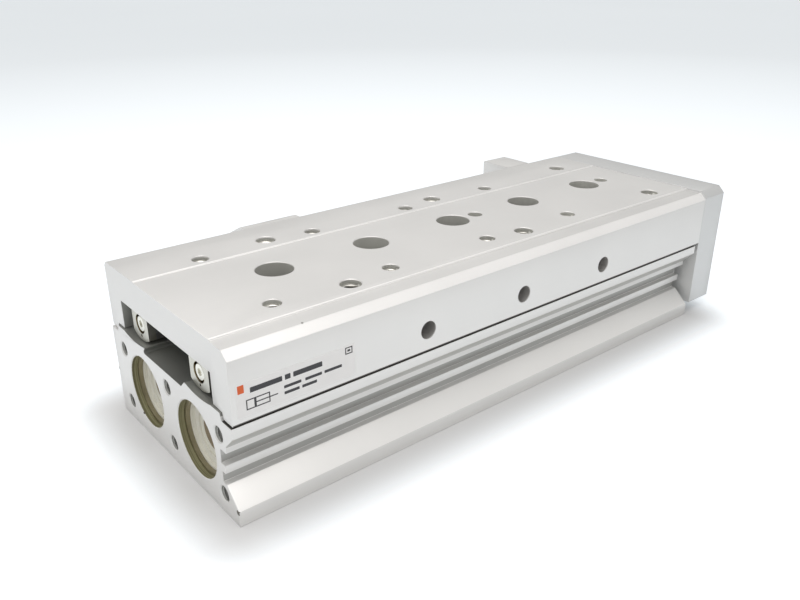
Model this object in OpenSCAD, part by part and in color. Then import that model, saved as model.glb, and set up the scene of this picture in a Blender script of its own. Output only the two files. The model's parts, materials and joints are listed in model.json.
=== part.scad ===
// Compact pneumatic slide table: twin cylinders in an extruded body drive a table that runs on
// crossed rollers, with a bumper screw on the side that trims the extended end of the stroke.
// Millimetres, +Z up, +X towards the end plate. The origin is the middle of the body's bottom face.

/* [Stroke] */
// Travel of the table
stroke = 100; // [80:1:101]

/* [Body] */
// Length of the body extrusion
body_l = 200; // [198:0.5:204]
// Width across the body and the table
body_w = 74; // [73:0.5:77]
// Height of the outer shoulders under the table's lips
shoulder_z = 29; // [28:0.1:29.2]
// Height of the raised middle of the body
crown_z = 31.1; // [30.6:0.1:31.3]
// Half width of the raised middle
crown_half_w = 31.5; // [31:0.1:32]
// Height of the floor of the long channel that seats the guide block
channel_z = 28.9; // [28.4:0.1:29.2]
// Radius of the shallow hollows under the rails
hollow_r = 32; // [28:1:40]
// Lowest height of those hollows
hollow_z = 30.3; // [30:0.1:30.5]
// Height of the foot along the sensor side
foot_h = 4.5; // [3.5:0.1:5.5]
// Height where the slope above the foot ends
slope_top_z = 9.8; // [9.2:0.1:10.2]
// Inward depth of the slope
slope_depth = 5.6; // [5:0.1:6]
// Height of the lower edge of the full width strip
strip_z = 26; // [25.5:0.1:26.5]
// Inward depth of the ramp below the strip
ramp_depth = 4; // [3.5:0.1:4.5]

/* [Sensor grooves] */
// Width of the upper groove's mouth
upper_groove_w = 4.4; // [4:0.1:4.6]
// Width of the lower groove's mouth
lower_groove_w = 3.4; // [3:0.1:3.6]
// Height of the rib between the grooves
groove_rib_h = 2.4; // [2:0.1:2.6]
// Depth of the rib's face from the side of the body
rib_depth = 5.4; // [5:0.1:5.8]
// Depth of the groove floors from the side of the body
groove_depth = 7.3; // [6.8:0.1:7.6]

/* [Cylinders] */
// Bore of each cylinder
bore_d = 20; // [19:0.5:20.5]
// Distance between the two cylinder axes
bore_pitch = 31.5; // [31:0.5:32.5]
// Height of the cylinder axes
bore_z = 15.3; // [15:0.1:15.8]
// Diameter of the rear mouth that seats the head cap
mouth_d = 22; // [21.5:0.5:22.5]
// Depth of the head cap's rear face inside the body
cap_recess = 4.4; // [4.2:0.1:5]
// Thickness of the head cap
cap_t = 7; // [6.5:0.5:8]
// Diameter of the piston rods
rod_d = 10; // [9:0.5:10]
// Length of the piston
piston_l = 16; // [16:0.5:17]
// Diameter of the front pocket that seats the rod gland
gland_d = 18; // [17.5:0.5:18.5]
// Length of the rod gland
gland_l = 18.8; // [17:0.1:19]

/* [Table] */
// How far the body reaches out behind the table when it is drawn back
tail = 0.5; // [0.3:0.1:0.8]
// Height of the finished part
table_z = 50; // [49.5:0.5:51]
// Drop of the middle of the top below the far strip
top_step = 0.3; // [0.2:0.1:0.5]
// Drop of the narrow band along the near edge
band_drop = 0.8; // [0.6:0.1:1]
// Distance of the near band's inner edge from the side
band_w = 7.7; // [7:0.1:8]
// Width of the near top chamfer
near_chamfer_w = 2.5; // [2:0.1:3]
// Height of the near top chamfer
near_chamfer_h = 2.2; // [1.8:0.1:2.6]
// Width of the far top bevel
far_bevel = 1.4; // [1:0.1:1.6]
// Where the far strip starts, from the middle
far_strip_y = 15.8; // [15.5:0.1:16.5]
// Height of the ceiling of the table's channel
ceiling_z = 40.4; // [40.2:0.1:40.8]
// Half width of the table's channel
channel_half_w = 27.5; // [27.2:0.1:28]
// Thickness of the side walls' outer lips
lip_w = 4.35; // [4:0.05:4.6]
// Gap between the table's underside and the body
table_gap = 0.45; // [0.4:0.05:0.6]

/* [End plate] */
// Thickness of the end plate
plate_t = 13; // [12.5:0.5:14]
// Height of the end plate's lower edge
plate_z = 4.5; // [4:0.1:5]
// Gap between the body and the end plate when the table is drawn back
front_gap = 2.2; // [2:0.1:2.4]

/* [Crossed roller guide] */
// Width of the guide block
block_w = 23.6; // [23:0.1:24]
// Length of the guide block
block_l = 152; // [151:0.5:154]
// Height of the roller track
track_z = 35.9; // [35.7:0.1:36.1]
// Diameter of the rollers
roller_d = 3; // [2.8:0.1:3.2]
// Distance from roller to roller
roller_pitch = 5.5; // [5.2:0.1:6]
// Thickness of the roller cage
cage_t = 0.6; // [0.5:0.1:0.8]
// Length of the roller cage
cage_l = 92; // [84:1:94]
// Distance between the guide block and a rail
track_gap = 1.2; // [1.2:0.1:1.4]
// Width of each rail
rail_w = 10.5; // [10.3:0.1:10.8]
// Length of each rail with its end plates
rail_l = 160.8; // [158:0.2:162]
// Height of the lowest line of a rail
rail_z = 30.9; // [30.8:0.1:31.1]

/* [Holes] */
// Distance from one mounting hole to the next
mount_pitch = 35; // [34:0.5:35]
// First mounting hole, from the table's rear face
mount_x = 35.5; // [35:0.5:37]
// Diameter of the access holes in the table
access_d = 11.3; // [11:0.1:11.6]
// Diameter of the mounting holes in the body
mount_d = 6.8; // [6.6:0.1:7]
// Distance between the two rows of workpiece threads
work_row_w = 45; // [44:0.5:46]
// First pair of workpiece threads, from the table's rear face
work_x = 46; // [45.5:0.5:47]
// Diameter of the dowel holes
dowel_d = 5; // [4.8:0.1:5.2]
// First rail screw, from the table's rear face
rail_screw_x = 22.5; // [22:0.5:23.5]
// Distance from one rail screw to the next
rail_screw_pitch = 39.5; // [39:0.5:40]
// Side distance of the rail screws from the middle
rail_screw_y = 20.2; // [20:0.1:20.4]
// Side distance of the tapped holes in the rear face
rear_hole_y = 29.6; // [29:0.1:29.8]
// Heights of the lower row of holes in the rear face
rear_hole_z = 6; // [5.8:0.1:6.4]
// Distance between the two rows of holes in the rear face
rear_hole_rise = 18; // [17:0.5:18]
// Rear air port, from the body's rear face
rear_port_x = 15.3; // [15:0.1:15.6]
// Front air port, from the body's rear face
front_port_x = 158; // [156:1:160]

/* [Stroke adjuster] */
// Rear end of the stopper, from the table's rear face
stopper_x = 46.6; // [45:0.2:48]
// Length of the stopper on the table
stopper_l = 22; // [21:0.5:23]
// Thickness of the adjuster holder along the stroke
holder_l = 12.4; // [12:0.2:14]
// Depth of the adjuster holder away from the body
holder_w = 15; // [14.5:0.1:15.5]
// Height of the adjuster holder's top
holder_z = 49.5; // [49:0.1:50]
// Height of the adjuster bolt
bolt_z = 38.4; // [38:0.1:39]
// Diameter of the adjuster bolt
bolt_d = 8; // [7.8:0.1:8]
// How far the bumper stands out behind the holder
bumper_reach = 3.9; // [3.6:0.1:4.4]

/* [Label] */
// Length of the bare label
label_l = 34.8; // [33:0.2:36]
// Height of the bare label
label_h = 9.1; // [8.6:0.1:9.6]

/* [Hidden] */
$fn = 96;

// Clearances: fixed round fits, running round fits, and rolling contact
fit = 0.03;
run = 0.05;
roll = 0.03;
// Overshoot of cutting tools past a face
cut = 1;

// Depths of the two dowel holes of one face, from the rear
dowel_depths = [6, 6.6];

half_w = body_w / 2;
rear_x = -body_l / 2;
front_x = body_l / 2;
tail_x = rear_x + tail;
plate_x = front_x + front_gap;
table_l = plate_x - tail_x;
top_z = table_z - top_step;
band_z = top_z + top_step - band_drop;

// Sensor side of the body, from the foot upwards
lower_groove_top = slope_top_z + lower_groove_w;
rib_top = lower_groove_top + groove_rib_h;
upper_groove_top = rib_top + upper_groove_w;
ramp_foot_z = strip_z - ramp_depth;

// Cylinder train along one bore, from the rear face forwards
mouth_depth = cap_recess + cap_t;
rear_bumper_t = 1.7;
rear_bumper_d = 13;
rear_bumper_hole_d = 7;
nut_gap = 0.2;
nut_t = 4;
nut_x = rear_x + mouth_depth + rear_bumper_t + nut_gap;
piston_x = nut_x + nut_t;
piston_front_x = piston_x + piston_l;
front_bumper_t = 2;
bore_end_x = piston_front_x + stroke + nut_gap + front_bumper_t;
rod_tunnel_d = rod_d + 2;
gland_pocket_l = gland_l + 3.2;
gland_x = front_x - gland_pocket_l;
seal_w = 4.6;
seal_x = gland_x + gland_l - 2.2 - seal_w;
gland_ring_t = 1.1;
gland_ring_x = gland_x + gland_l + 0.2;
gland_ring_d = gland_d + 1.5;
cap_ring_t = 1.2;
cap_ring_x = rear_x + cap_recess - 1.1 - cap_ring_t;
cap_ring_d = mouth_d + 1.5;
cap_rim_x = cap_ring_x + cap_ring_t + 0.05;
stud_d = 6;
piston_core_d = bore_d - 5;
rod_thread_l = 16;

// Guide
block_half_w = block_w / 2;
rail_y = block_half_w + track_gap;
rail_outer_y = rail_y + rail_w;
track_y = block_half_w + track_gap / 2;
track_side = roller_d + 2 * roll;
block_top_z = ceiling_z - 0.4;
block_front_x = front_x - 1;
block_x = block_front_x - block_l;
seat_gap = 0.6;
seat_half_w = block_half_w + seat_gap;
// Lead-in slope on the near wall of the block's channel, and relief under its far wall
seat_slope = crown_z - channel_z + 0.1;
seat_relief = 1.1;
rail_x = tail_x + 1.35;
rail_end_t = 2.2;
end_head_depth = 1.3;
rail_body_l = rail_l - 2 * rail_end_t;
rail_mid_y = rail_y + 5.2;
rail_arc_r = 10;
cage_h = 7.2;
cage_x = (rail_x + block_front_x - cage_l) / 2;
block_thread_l = 7;
roller_l = roller_d - 0.3;
roller_count = floor((cage_l - roller_pitch) / roller_pitch) + 1;
roller_x = cage_x + (cage_l - (roller_count - 1) * roller_pitch) / 2;

// Wire inserts in the table's roof
insert_m5_d = 6.2;
insert_m4_d = 5.1;
thread_floor_z = ceiling_z + 1.1;
insert_l = table_z - ceiling_z - 1.9;

// Hole rows, in the part's own X
mount_count = floor((table_l - mount_x - 24) / mount_pitch) + 1;
work_count = floor((table_l - work_x - 13) / (2 * mount_pitch)) + 1;
rail_screw_count = floor((rail_l - rail_screw_x - 8) / rail_screw_pitch) + 1;
mount_xs = [for (i = [0:mount_count - 1]) tail_x + mount_x + i * mount_pitch];
block_screw_xs = [for (i = [0:mount_count - 1]) tail_x + mount_x + (i + 0.5) * mount_pitch];
rail_screw_xs = [for (i = [0:rail_screw_count - 1]) tail_x + rail_screw_x + i * rail_screw_pitch];
work_xs = [for (i = [0:work_count - 1]) tail_x + work_x + i * 2 * mount_pitch];
bore_ys = [-bore_pitch / 2, bore_pitch / 2];
rear_hole_zs = [rear_hole_z, rear_hole_z + rear_hole_rise];

// Screws, as [shank, head diameter, head height, hex key]
m3_low = [3, 6, 1.2, 2];
rail_end_screw = [2.5, 5, 1.1, 2];
m4 = [4, 7, 4, 3];
m4_low = [4, 5.5, 2.2, 2.5];
m5 = [5, 8.5, 5, 4];
m6 = [6, 10, 6, 5];

// End plate screws and the tapped holes of its front face
wall_screw_y = half_w - m5[1] / 2 - 1.4;
wall_screw_z = 38;
roof_screw_y = 14;
roof_screw_z = table_z - m5[1] / 2 - 1.2;
front_hole_y = 26;
front_hole_zs = [24, 44];
front_dowel_z = 34;
plate_front_x = plate_x + plate_t;
plate_screw_l = 14;

// Stroke adjuster
stopper_w = 11.5;
stopper_shoulder_z = 45;
stopper_top_z = table_z - 0.8;
stopper_top_w = 3.5;
stopper_base_z = 31.6;
stopper_screw_z = 37;
stopper_screw_xs = [tail_x + stopper_x + 5.2, tail_x + stopper_x + stopper_l - 5.2];
holder_x = tail_x + stopper_x + stopper_l + stroke + 0.2 + bumper_reach;
holder_base_z = 8;
holder_clear = 0.5;
holder_screw_zs = [13, 24];
holder_thread_l = 9;
bolt_y = half_w + 7.75;
bolt_l = 26;
bolt_tip_x = holder_x - 1.4;
nut_af = 13;
lock_nut_t = 5;
bumper_d = 6.4;
bumper_stem_d = 3;
bumper_stem_l = 5;
label_t = 0.1;

// Rubber plugs in the front face, inside of the holder's threads
plug_d = 5;
plug_l = 6;
plug_y = half_w - holder_thread_l - plug_d / 2 - 0.5;
plug_z = strip_z - 0.7;

// Extrudes a profile drawn in Y and Z along +X
module along_x(x0, l) {
    translate([x0, 0, 0])
        rotate([90, 0, 90])
            linear_extrude(l)
                children();
}

// Round bar along +X
module bar(x0, l, d, y = 0, z = 0) {
    translate([x0, y, z])
        rotate([0, 90, 0])
            cylinder(h = l, d = d);
}

// Cone along +X
module taper(x0, l, d1, d2, y = 0, z = 0) {
    translate([x0, y, z])
        rotate([0, 90, 0])
            cylinder(h = l, d1 = d1, d2 = d2);
}

// Round tube along +X
module sleeve(x0, l, outer, inner, y = 0, z = 0) {
    difference() {
        bar(x0, l, outer, y, z);
        bar(x0 - cut, l + 2 * cut, inner, y, z);
    }
}

// Upright hole with a countersunk mouth at z
module mouth_hole(x, y, z, d, depth, lead) {
    translate([x, y, z - depth])
        cylinder(h = depth + cut, d = d);
    translate([x, y, z - lead])
        cylinder(h = lead + cut, d1 = d, d2 = d + 2 * (lead + cut));
}

// Socket head screw pointing along -Z, with the underside of its head at the origin
module socket_screw(size, l) {
    difference() {
        union() {
            translate([0, 0, -l])
                cylinder(h = l, d = size[0]);
            cylinder(h = size[2] - 0.3, d = size[1]);
            translate([0, 0, size[2] - 0.3])
                cylinder(h = 0.3, d1 = size[1], d2 = size[1] - 0.6);
        }
        translate([0, 0, size[2] / 2])
            cylinder(h = size[2], d = size[3] / cos(30), $fn = 6);
    }
}

// Turns something drawn along +Z so that it points along +X, -X, +Y or -Y
module face_front() { rotate([0, 90, 0]) children(); }
module face_rear() { rotate([0, -90, 0]) children(); }
module face_far() { rotate([-90, 0, 0]) children(); }
module face_near() { rotate([90, 0, 0]) children(); }

// Repeats a piece on both cylinder axes
module at_bores() {
    for (y = bore_ys)
        translate([0, y, bore_z])
            children();
}

// Body section: sensor side on the left, flat port side on the right
module housing_profile() {
    polygon([
        [-half_w, 0],
        [-half_w, foot_h],
        [-half_w + slope_depth, slope_top_z],
        [-half_w + groove_depth, slope_top_z],
        [-half_w + groove_depth, lower_groove_top],
        [-half_w + rib_depth, lower_groove_top],
        [-half_w + rib_depth, rib_top],
        [-half_w + groove_depth, rib_top],
        [-half_w + groove_depth, upper_groove_top],
        [-half_w + ramp_depth, upper_groove_top],
        [-half_w + ramp_depth, ramp_foot_z],
        [-half_w, strip_z],
        [-half_w, shoulder_z],
        [-crown_half_w - 0.7, shoulder_z],
        [-crown_half_w, crown_z],
        [-seat_half_w, crown_z],
        [-seat_half_w + seat_slope, channel_z],
        [seat_half_w + seat_relief - 0.4, channel_z],
        [seat_half_w + seat_relief, channel_z + 0.4],
        [seat_half_w + seat_relief, channel_z + 0.9],
        [seat_half_w, crown_z - 0.2],
        [seat_half_w, crown_z],
        [crown_half_w, crown_z],
        [crown_half_w + 0.7, shoulder_z],
        [half_w, shoulder_z],
        [half_w, 0]
    ]);
}

// Everything that is bored from the two ends along one cylinder axis
module cylinder_bore() {
    bar(rear_x - cut, mouth_depth + cut, mouth_d);
    taper(rear_x - cut, cut + 0.3, mouth_d + 0.6 + 2 * cut, mouth_d);
    bar(cap_ring_x - 0.05, cap_ring_t + 0.1, cap_ring_d + 0.2);
    bar(rear_x, bore_end_x - rear_x, bore_d);
    bar(rear_x, body_l + cut, rod_tunnel_d);
    bar(gland_x, gland_pocket_l + cut, gland_d);
    bar(gland_ring_x - 0.05, gland_ring_t + 0.1, gland_ring_d + 0.2);
}

// Air port from the port side, with a passage that joins both cylinders
module air_port(x) {
    translate([x, half_w - 8, bore_z])
        face_far()
            cylinder(h = 8 + cut, d = 8.6);
    translate([x, half_w - 0.6, bore_z])
        face_far()
            cylinder(h = 0.6 + cut, d1 = 8.6, d2 = 8.6 + 2 * (0.6 + cut));
    translate([x, bore_ys[0], bore_z])
        face_far()
            cylinder(h = half_w - bore_ys[0] - 7, d = 3);
}

module housing() {
    color("gainsboro")
        difference() {
            along_x(rear_x, body_l) housing_profile();
            for (side = [-1, 1])
                bar(rear_x - cut, body_l + 2 * cut, 2 * hollow_r, side * (rail_mid_y + 1.8), hollow_z + hollow_r);
            at_bores() cylinder_bore();
            air_port(rear_x + rear_port_x);
            air_port(rear_x + front_port_x);
            // Mounting holes with room for a screw head, tapped for fixing from below
            for (x = mount_xs) {
                translate([x, 0, -cut])
                    cylinder(h = table_z, d = mount_d);
                translate([x, 0, channel_z - m6[2] - 1])
                    cylinder(h = table_z, d = access_d - 0.1);
            }
            // Dowel holes in the bottom
            for (i = [0, 1])
                translate([work_xs[i * (work_count - 1)], 0, -cut])
                    cylinder(h = dowel_depths[i] + cut, d = dowel_d);
            // Threads for the guide block
            for (x = block_screw_xs)
                translate([x, 0, channel_z - block_thread_l - 0.9])
                    cylinder(h = block_thread_l + 0.9 + cut, d = m4[0] + 2 * fit);
            // Tapped holes in the rear face
            for (y = [-rear_hole_y, 0, rear_hole_y], z = rear_hole_zs) {
                bar(rear_x - cut, 10 + cut, 4.2, y, z);
                taper(rear_x - cut, cut + 0.4, 5 + 2 * cut, 4.2, y, z);
            }
            // Sockets for the bumpers that meet the end plate
            for (y = [-plug_y, plug_y])
                bar(front_x - plug_l, plug_l + cut, plug_d + 2 * fit, y, plug_z);
            // Threads for the adjuster holder
            for (z = holder_screw_zs)
                translate([holder_x + holder_l / 2, half_w - holder_thread_l, z])
                    face_far()
                        cylinder(h = holder_thread_l + cut, d = m5[0] + 2 * fit);
        }
}

// Moulded cap: a rim that the retaining ring bears on, a stepped hollow and a seal groove
module head_caps() {
    color("ivory")
        at_bores()
            difference() {
                bar(cap_rim_x, rear_x + mouth_depth - 0.05 - cap_rim_x, mouth_d - 2 * fit);
                bar(rear_x, cap_recess, mouth_d - 3);
                bar(rear_x, cap_recess + 0.5, 14.4);
                bar(rear_x, cap_recess + 4, 8.6);
                taper(rear_x + cap_recess + 0.4, 1, 10.4, 8.6);
                difference() {
                    bar(rear_x + cap_recess + 2.4, 2.2, mouth_d + cut);
                    bar(rear_x + cap_recess, cap_t, mouth_d - 3.6);
                }
            }
}

// Ring seal of round section, for a groove whose floor is core and whose wall is shell
module ring_seal(x, core, shell) {
    section = (shell - core) / 2 - 0.1;
    translate([x, 0, 0])
        face_front()
            rotate_extrude()
                translate([(shell + core) / 4, 0])
                    circle(d = section, $fn = 32);
}

module cap_o_rings() {
    color("black")
        at_bores() ring_seal(rear_x + cap_recess + 3.5, mouth_d - 3.6, mouth_d);
}

// Spring ring with two drilled lugs beside its gap, open towards the near side
module snap_ring(x, t, outer, inner) {
    lug_y = -(inner / 2 - 0.5);
    difference() {
        union() {
            sleeve(x, t, outer, inner);
            for (side = [-1, 1])
                bar(x, t, 3.4, lug_y, side * 3.2);
        }
        translate([x - cut, -outer, -1.6])
            cube([t + 2 * cut, outer, 3.2]);
        for (side = [-1, 1])
            bar(x - cut, t + 2 * cut, 1.3, lug_y, side * 3.2);
    }
}

module cap_retaining_rings() {
    color("darkkhaki")
        at_bores() snap_ring(cap_ring_x, cap_ring_t, cap_ring_d, mouth_d - 1.8);
}

module rear_bumpers() {
    color("saddlebrown")
        at_bores() sleeve(rear_x + mouth_depth - 0.05, rear_bumper_t, rear_bumper_d, rear_bumper_hole_d);
}

// Turned gland: a plain bearing for the rod, a groove for its lip seal and one for the ring seal
module rod_glands() {
    color("silver")
        at_bores()
            difference() {
                bar(gland_x, gland_l, gland_d - 2 * fit);
                bar(gland_x - cut, gland_l + 2 * cut, rod_d + 2 * run);
                bar(seal_x, seal_w, rod_d + 5);
                difference() {
                    bar(gland_x + 5, 2.2, gland_d + cut);
                    bar(gland_x + 4, 4, gland_d - 3.2);
                }
            }
}

module gland_o_rings() {
    color("black")
        at_bores() ring_seal(gland_x + 6.1, gland_d - 3.2, gland_d);
}

// Lip seal: a U section with its open side towards the pressure
module rod_seals() {
    color("dimgray")
        at_bores()
            difference() {
                sleeve(seal_x + 0.05, seal_w - 0.1, rod_d + 5 - 2 * fit, rod_d + 2 * run);
                sleeve(seal_x - cut, 1.6 + cut, rod_d + 3.4, rod_d + 1.6);
            }
}

module gland_retaining_rings() {
    color("darkgray")
        at_bores() snap_ring(gland_ring_x, gland_ring_t, gland_ring_d, gland_d - 2);
}

module front_bumpers() {
    color("saddlebrown")
        at_bores() sleeve(bore_end_x - front_bumper_t, front_bumper_t, bore_d - 2 * fit, rod_d + 2.6);
}

// Rubber plugs that meet the end plate when the table is drawn back
module retraction_bumpers() {
    color("black")
        for (y = [-plug_y, plug_y])
            bar(front_x - plug_l, plug_l + front_gap - 0.05, plug_d, y, plug_z);
}

// Square tunnel turned by 45 degrees that both halves of a roller track share
module track_cut(x0, l, y) {
    along_x(x0, l)
        translate([y, track_z])
            rotate(45)
                square(track_side, center = true);
}

// Hardened block with a V track along each side, drilled for its own and for the mounting screws
module guide_block() {
    color("lightgray")
        difference() {
            along_x(block_x, block_l)
                polygon([
                    [-block_half_w + seat_slope, channel_z],
                    [block_half_w, channel_z],
                    [block_half_w, block_top_z],
                    [-block_half_w, block_top_z],
                    [-block_half_w, channel_z + seat_slope]
                ]);
            for (side = [-1, 1])
                track_cut(block_x - cut, block_l + 2 * cut, side * track_y);
            for (x = mount_xs)
                if (x > block_x)
                    translate([x, 0, 0])
                        cylinder(h = table_z, d = access_d);
            for (x = block_screw_xs) {
                translate([x, 0, 0])
                    cylinder(h = table_z, d = m4[0] + 0.4);
                translate([x, 0, block_top_z - m4[2] - 0.6])
                    cylinder(h = table_z, d = m4[1] + 0.4);
            }
            for (side = [-1, 1], x = [block_x - cut, block_front_x - 6])
                bar(x, 6 + cut, m3_low[0] + 2 * fit, side * (block_half_w - 3.8), track_z);
        }
}

module guide_block_screws() {
    color("dimgray")
        for (x = block_screw_xs)
            translate([x, 0, block_top_z - m4[2] - 0.6])
                socket_screw(m4, block_top_z - m4[2] - 0.6 - channel_z + block_thread_l);
}

// Low screws whose heads close the ends of the block's tracks
module block_stop_screws() {
    color("dimgray")
        for (side = [-1, 1]) {
            translate([block_x, side * (block_half_w - 3.8), track_z])
                face_rear() socket_screw(m3_low, 5.5);
            translate([block_front_x, side * (block_half_w - 3.8), track_z])
                face_front() socket_screw(m3_low, 5.5);
        }
}

// Flat cage strip with one window for each roller
module cage(side) {
    difference() {
        translate([cage_x, side * track_y - cage_t / 2, track_z - cage_h / 2])
            cube([cage_l, cage_t, cage_h]);
        for (i = [0:roller_count - 1])
            translate([roller_x + i * roller_pitch, side * track_y, track_z])
                cube([roller_d + 0.3, cage_t + 2 * cut, 1.4 * roller_d + 0.3], center = true);
    }
}

// Rollers whose axes lean to one side and to the other in turn
module rollers(side) {
    for (i = [0:roller_count - 1])
        translate([roller_x + i * roller_pitch, side * track_y, track_z])
            rotate([i % 2 == 0 ? 45 : -45, 0, 0])
                cylinder(h = roller_l, d = roller_d, center = true, $fn = 48);
}

module near_cage() { color("peru") cage(-1); }
module far_cage() { color("peru") cage(1); }
module near_rollers() { color("silver") rollers(-1); }
module far_rollers() { color("silver") rollers(1); }

// Table section: near chamfer on the left, far strip and bevel on the right, lips below
module table_profile() {
    lip_y = half_w - lip_w;
    lip_z = shoulder_z + table_gap;
    inner_lip_z = crown_z + table_gap;
    polygon([
        [-half_w, lip_z],
        [-half_w, band_z - near_chamfer_h],
        [-half_w + near_chamfer_w, band_z],
        [-half_w + band_w + 0.4, band_z],
        [-half_w + band_w + 0.7, top_z],
        [far_strip_y, top_z],
        [far_strip_y + 0.2, table_z],
        [half_w - far_bevel, table_z],
        [half_w, table_z - far_bevel],
        [half_w, lip_z],
        [lip_y, lip_z],
        [lip_y - 0.7, inner_lip_z],
        [channel_half_w, inner_lip_z],
        [channel_half_w, ceiling_z],
        [-channel_half_w, ceiling_z],
        [-channel_half_w, inner_lip_z],
        [-lip_y + 0.7, inner_lip_z],
        [-lip_y, lip_z]
    ]);
}

module table() {
    color("gainsboro")
        difference() {
            along_x(tail_x, table_l) table_profile();
            // Access holes for the mounting screws below
            for (x = mount_xs)
                mouth_hole(x, 0, top_z, access_d, table_z, 0.2);
            // Dowel holes
            for (i = [0, 1])
                mouth_hole(work_xs[work_count - 2 + i], 0, top_z, dowel_d, dowel_depths[i], 0.2);
            // Threads for the workpiece, lined with wire inserts
            for (x = work_xs) {
                mouth_hole(x, -work_row_w / 2, top_z, insert_m5_d, top_z - thread_floor_z, 0.25);
                mouth_hole(x, work_row_w / 2, table_z, insert_m5_d, table_z - thread_floor_z, 0.25);
            }
            // Threads for the rail screws, lined with wire inserts
            for (x = rail_screw_xs) {
                mouth_hole(x, -rail_screw_y, top_z, insert_m4_d, top_z, 0.2);
                mouth_hole(x, rail_screw_y, table_z, insert_m4_d, table_z, 0.2);
            }
            // Preload screw holes in the near wall
            for (x = rail_screw_xs) {
                translate([x, -channel_half_w + cut, track_z])
                    face_near()
                        cylinder(h = half_w, d = m5[0] + 2 * fit);
                translate([x, -half_w + 5.5, track_z])
                    face_near()
                        cylinder(h = half_w, d = 5.5);
            }
            // Threads for the stopper
            for (x = stopper_screw_xs)
                translate([x, channel_half_w - cut, stopper_screw_z])
                    face_far()
                        cylinder(h = half_w, d = m5[0] + 2 * fit);
            // Threads for the end plate
            for (side = [-1, 1]) {
                bar(plate_x - plate_screw_l, plate_t + plate_screw_l, m5[0] + 2 * fit, side * wall_screw_y, wall_screw_z);
                bar(plate_x - plate_screw_l, plate_t + plate_screw_l, m5[0] + 2 * fit, side * roof_screw_y, roof_screw_z);
            }
        }
}

// End plate section, with the chamfers of the table's top edges
module plate_profile() {
    chamfer = near_chamfer_w;
    polygon([
        [-half_w, plate_z],
        [-half_w, table_z - chamfer],
        [-half_w + chamfer, table_z],
        [half_w - far_bevel, table_z],
        [half_w, table_z - far_bevel],
        [half_w, plate_z]
    ]);
}

// Positions of the four screws that hold the end plate on the table
module at_plate_screws() {
    for (side = [-1, 1]) {
        translate([0, side * wall_screw_y, wall_screw_z]) children();
        translate([0, side * roof_screw_y, roof_screw_z]) children();
    }
}

plate_head_x = plate_front_x - m5[2] - 0.5;
rod_head_x = plate_front_x - m6[2] - 0.5;

module end_plate() {
    color("gainsboro")
        difference() {
            along_x(plate_x, plate_t) plate_profile();
            at_plate_screws() {
                bar(plate_x - cut, plate_t + 2 * cut, m5[0] + 0.5);
                bar(plate_head_x, plate_t, m5[1] + 0.5);
            }
            at_bores() {
                bar(plate_x - cut, plate_t + 2 * cut, 9 + 2 * fit);
                bar(rod_head_x, plate_t, m6[1] + 0.8);
            }
            for (y = [-front_hole_y, front_hole_y], z = front_hole_zs) {
                bar(plate_front_x - 9, 9 + cut, 4.2, y, z);
                taper(plate_front_x - 0.4, 0.4 + cut, 4.2, 5 + 2 * cut, y, z);
            }
            bar(plate_front_x - 6, 6 + cut, dowel_d, 0, front_dowel_z);
        }
}

module end_plate_screws() {
    color("dimgray")
        at_plate_screws()
            translate([plate_head_x, 0, 0])
                face_front() socket_screw(m5, plate_head_x - plate_x + 12);
}

// Rail section: a bar with a round underside and the outer half of the V track
module rail_profile() {
    intersection() {
        translate([rail_y, rail_z])
            square([rail_w, ceiling_z - rail_z]);
        translate([rail_mid_y, rail_z + rail_arc_r])
            circle(r = rail_arc_r);
    }
}

module rail(side) {
    difference() {
        mirror([0, side < 0 ? 1 : 0, 0])
            along_x(rail_x + rail_end_t, rail_body_l) rail_profile();
        track_cut(rail_x, rail_l, side * track_y);
        for (x = rail_screw_xs)
            translate([x, side * rail_screw_y, 0]) {
                cylinder(h = table_z, d = m4[0] + 0.3);
                cylinder(h = rail_z + 3.6, d = m4_low[1] + 0.4);
            }
        for (x = [rail_x, rail_x + rail_l - 9])
            bar(x, 9, rail_end_screw[0] + 2 * fit, side * rail_mid_y, track_z);
    }
}

module near_rail() { color("darkgray") rail(-1); }
module far_rail() { color("darkgray") rail(1); }

// Low head screws that hold the rails up against the ceiling
module rail_screws() {
    color("dimgray")
        for (side = [-1, 1], x = rail_screw_xs)
            translate([x, side * rail_screw_y, rail_z + 3.6])
                rotate([180, 0, 0])
                    socket_screw([3.3, m4_low[1], m4_low[2], m4_low[3]], top_z - 3 - rail_z - 3.6);
}

// End plate of a rail, with a recess for its screw and a small blind mark hole below it.
// It is drawn with its outer face at x = 0 and its thickness towards +X.
module rail_end_plate() {
    difference() {
        along_x(0, rail_end_t) rail_profile();
        bar(-cut, rail_end_t + 2 * cut, rail_end_screw[0] + 2 * fit, rail_mid_y, track_z);
        bar(-cut, end_head_depth + cut, rail_end_screw[1] + 0.8, rail_mid_y, track_z);
        bar(-cut, 0.9 + cut, 0.9, rail_mid_y, track_z - 3.6);
    }
}

// Plates that close the ends of the rails' tracks
module rail_end_plates() {
    color("silver")
        for (side = [0, 1], end = [0, 1])
            translate([end * rail_l + rail_x, 0, 0])
                mirror([end, 0, 0])
                    mirror([0, side, 0])
                        rail_end_plate();
}

module rail_end_screws() {
    color("lightgray")
        for (side = [-1, 1]) {
            translate([rail_x + end_head_depth, side * rail_mid_y, track_z])
                face_rear() socket_screw(rail_end_screw, 6.5);
            translate([rail_x + rail_l - end_head_depth, side * rail_mid_y, track_z])
                face_front() socket_screw(rail_end_screw, 6.5);
        }
}

// Set screws through the near wall that press the near rail against the rollers
module preload_screws() {
    color("dimgray")
        for (x = rail_screw_xs)
            translate([x, -rail_outer_y, track_z])
                face_near()
                    difference() {
                        cylinder(h = half_w - 5.8 - rail_outer_y, d = m5[0]);
                        translate([0, 0, half_w - 8.3 - rail_outer_y])
                            cylinder(h = 4, d = 2.5 / cos(30), $fn = 6);
                    }
}

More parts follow.
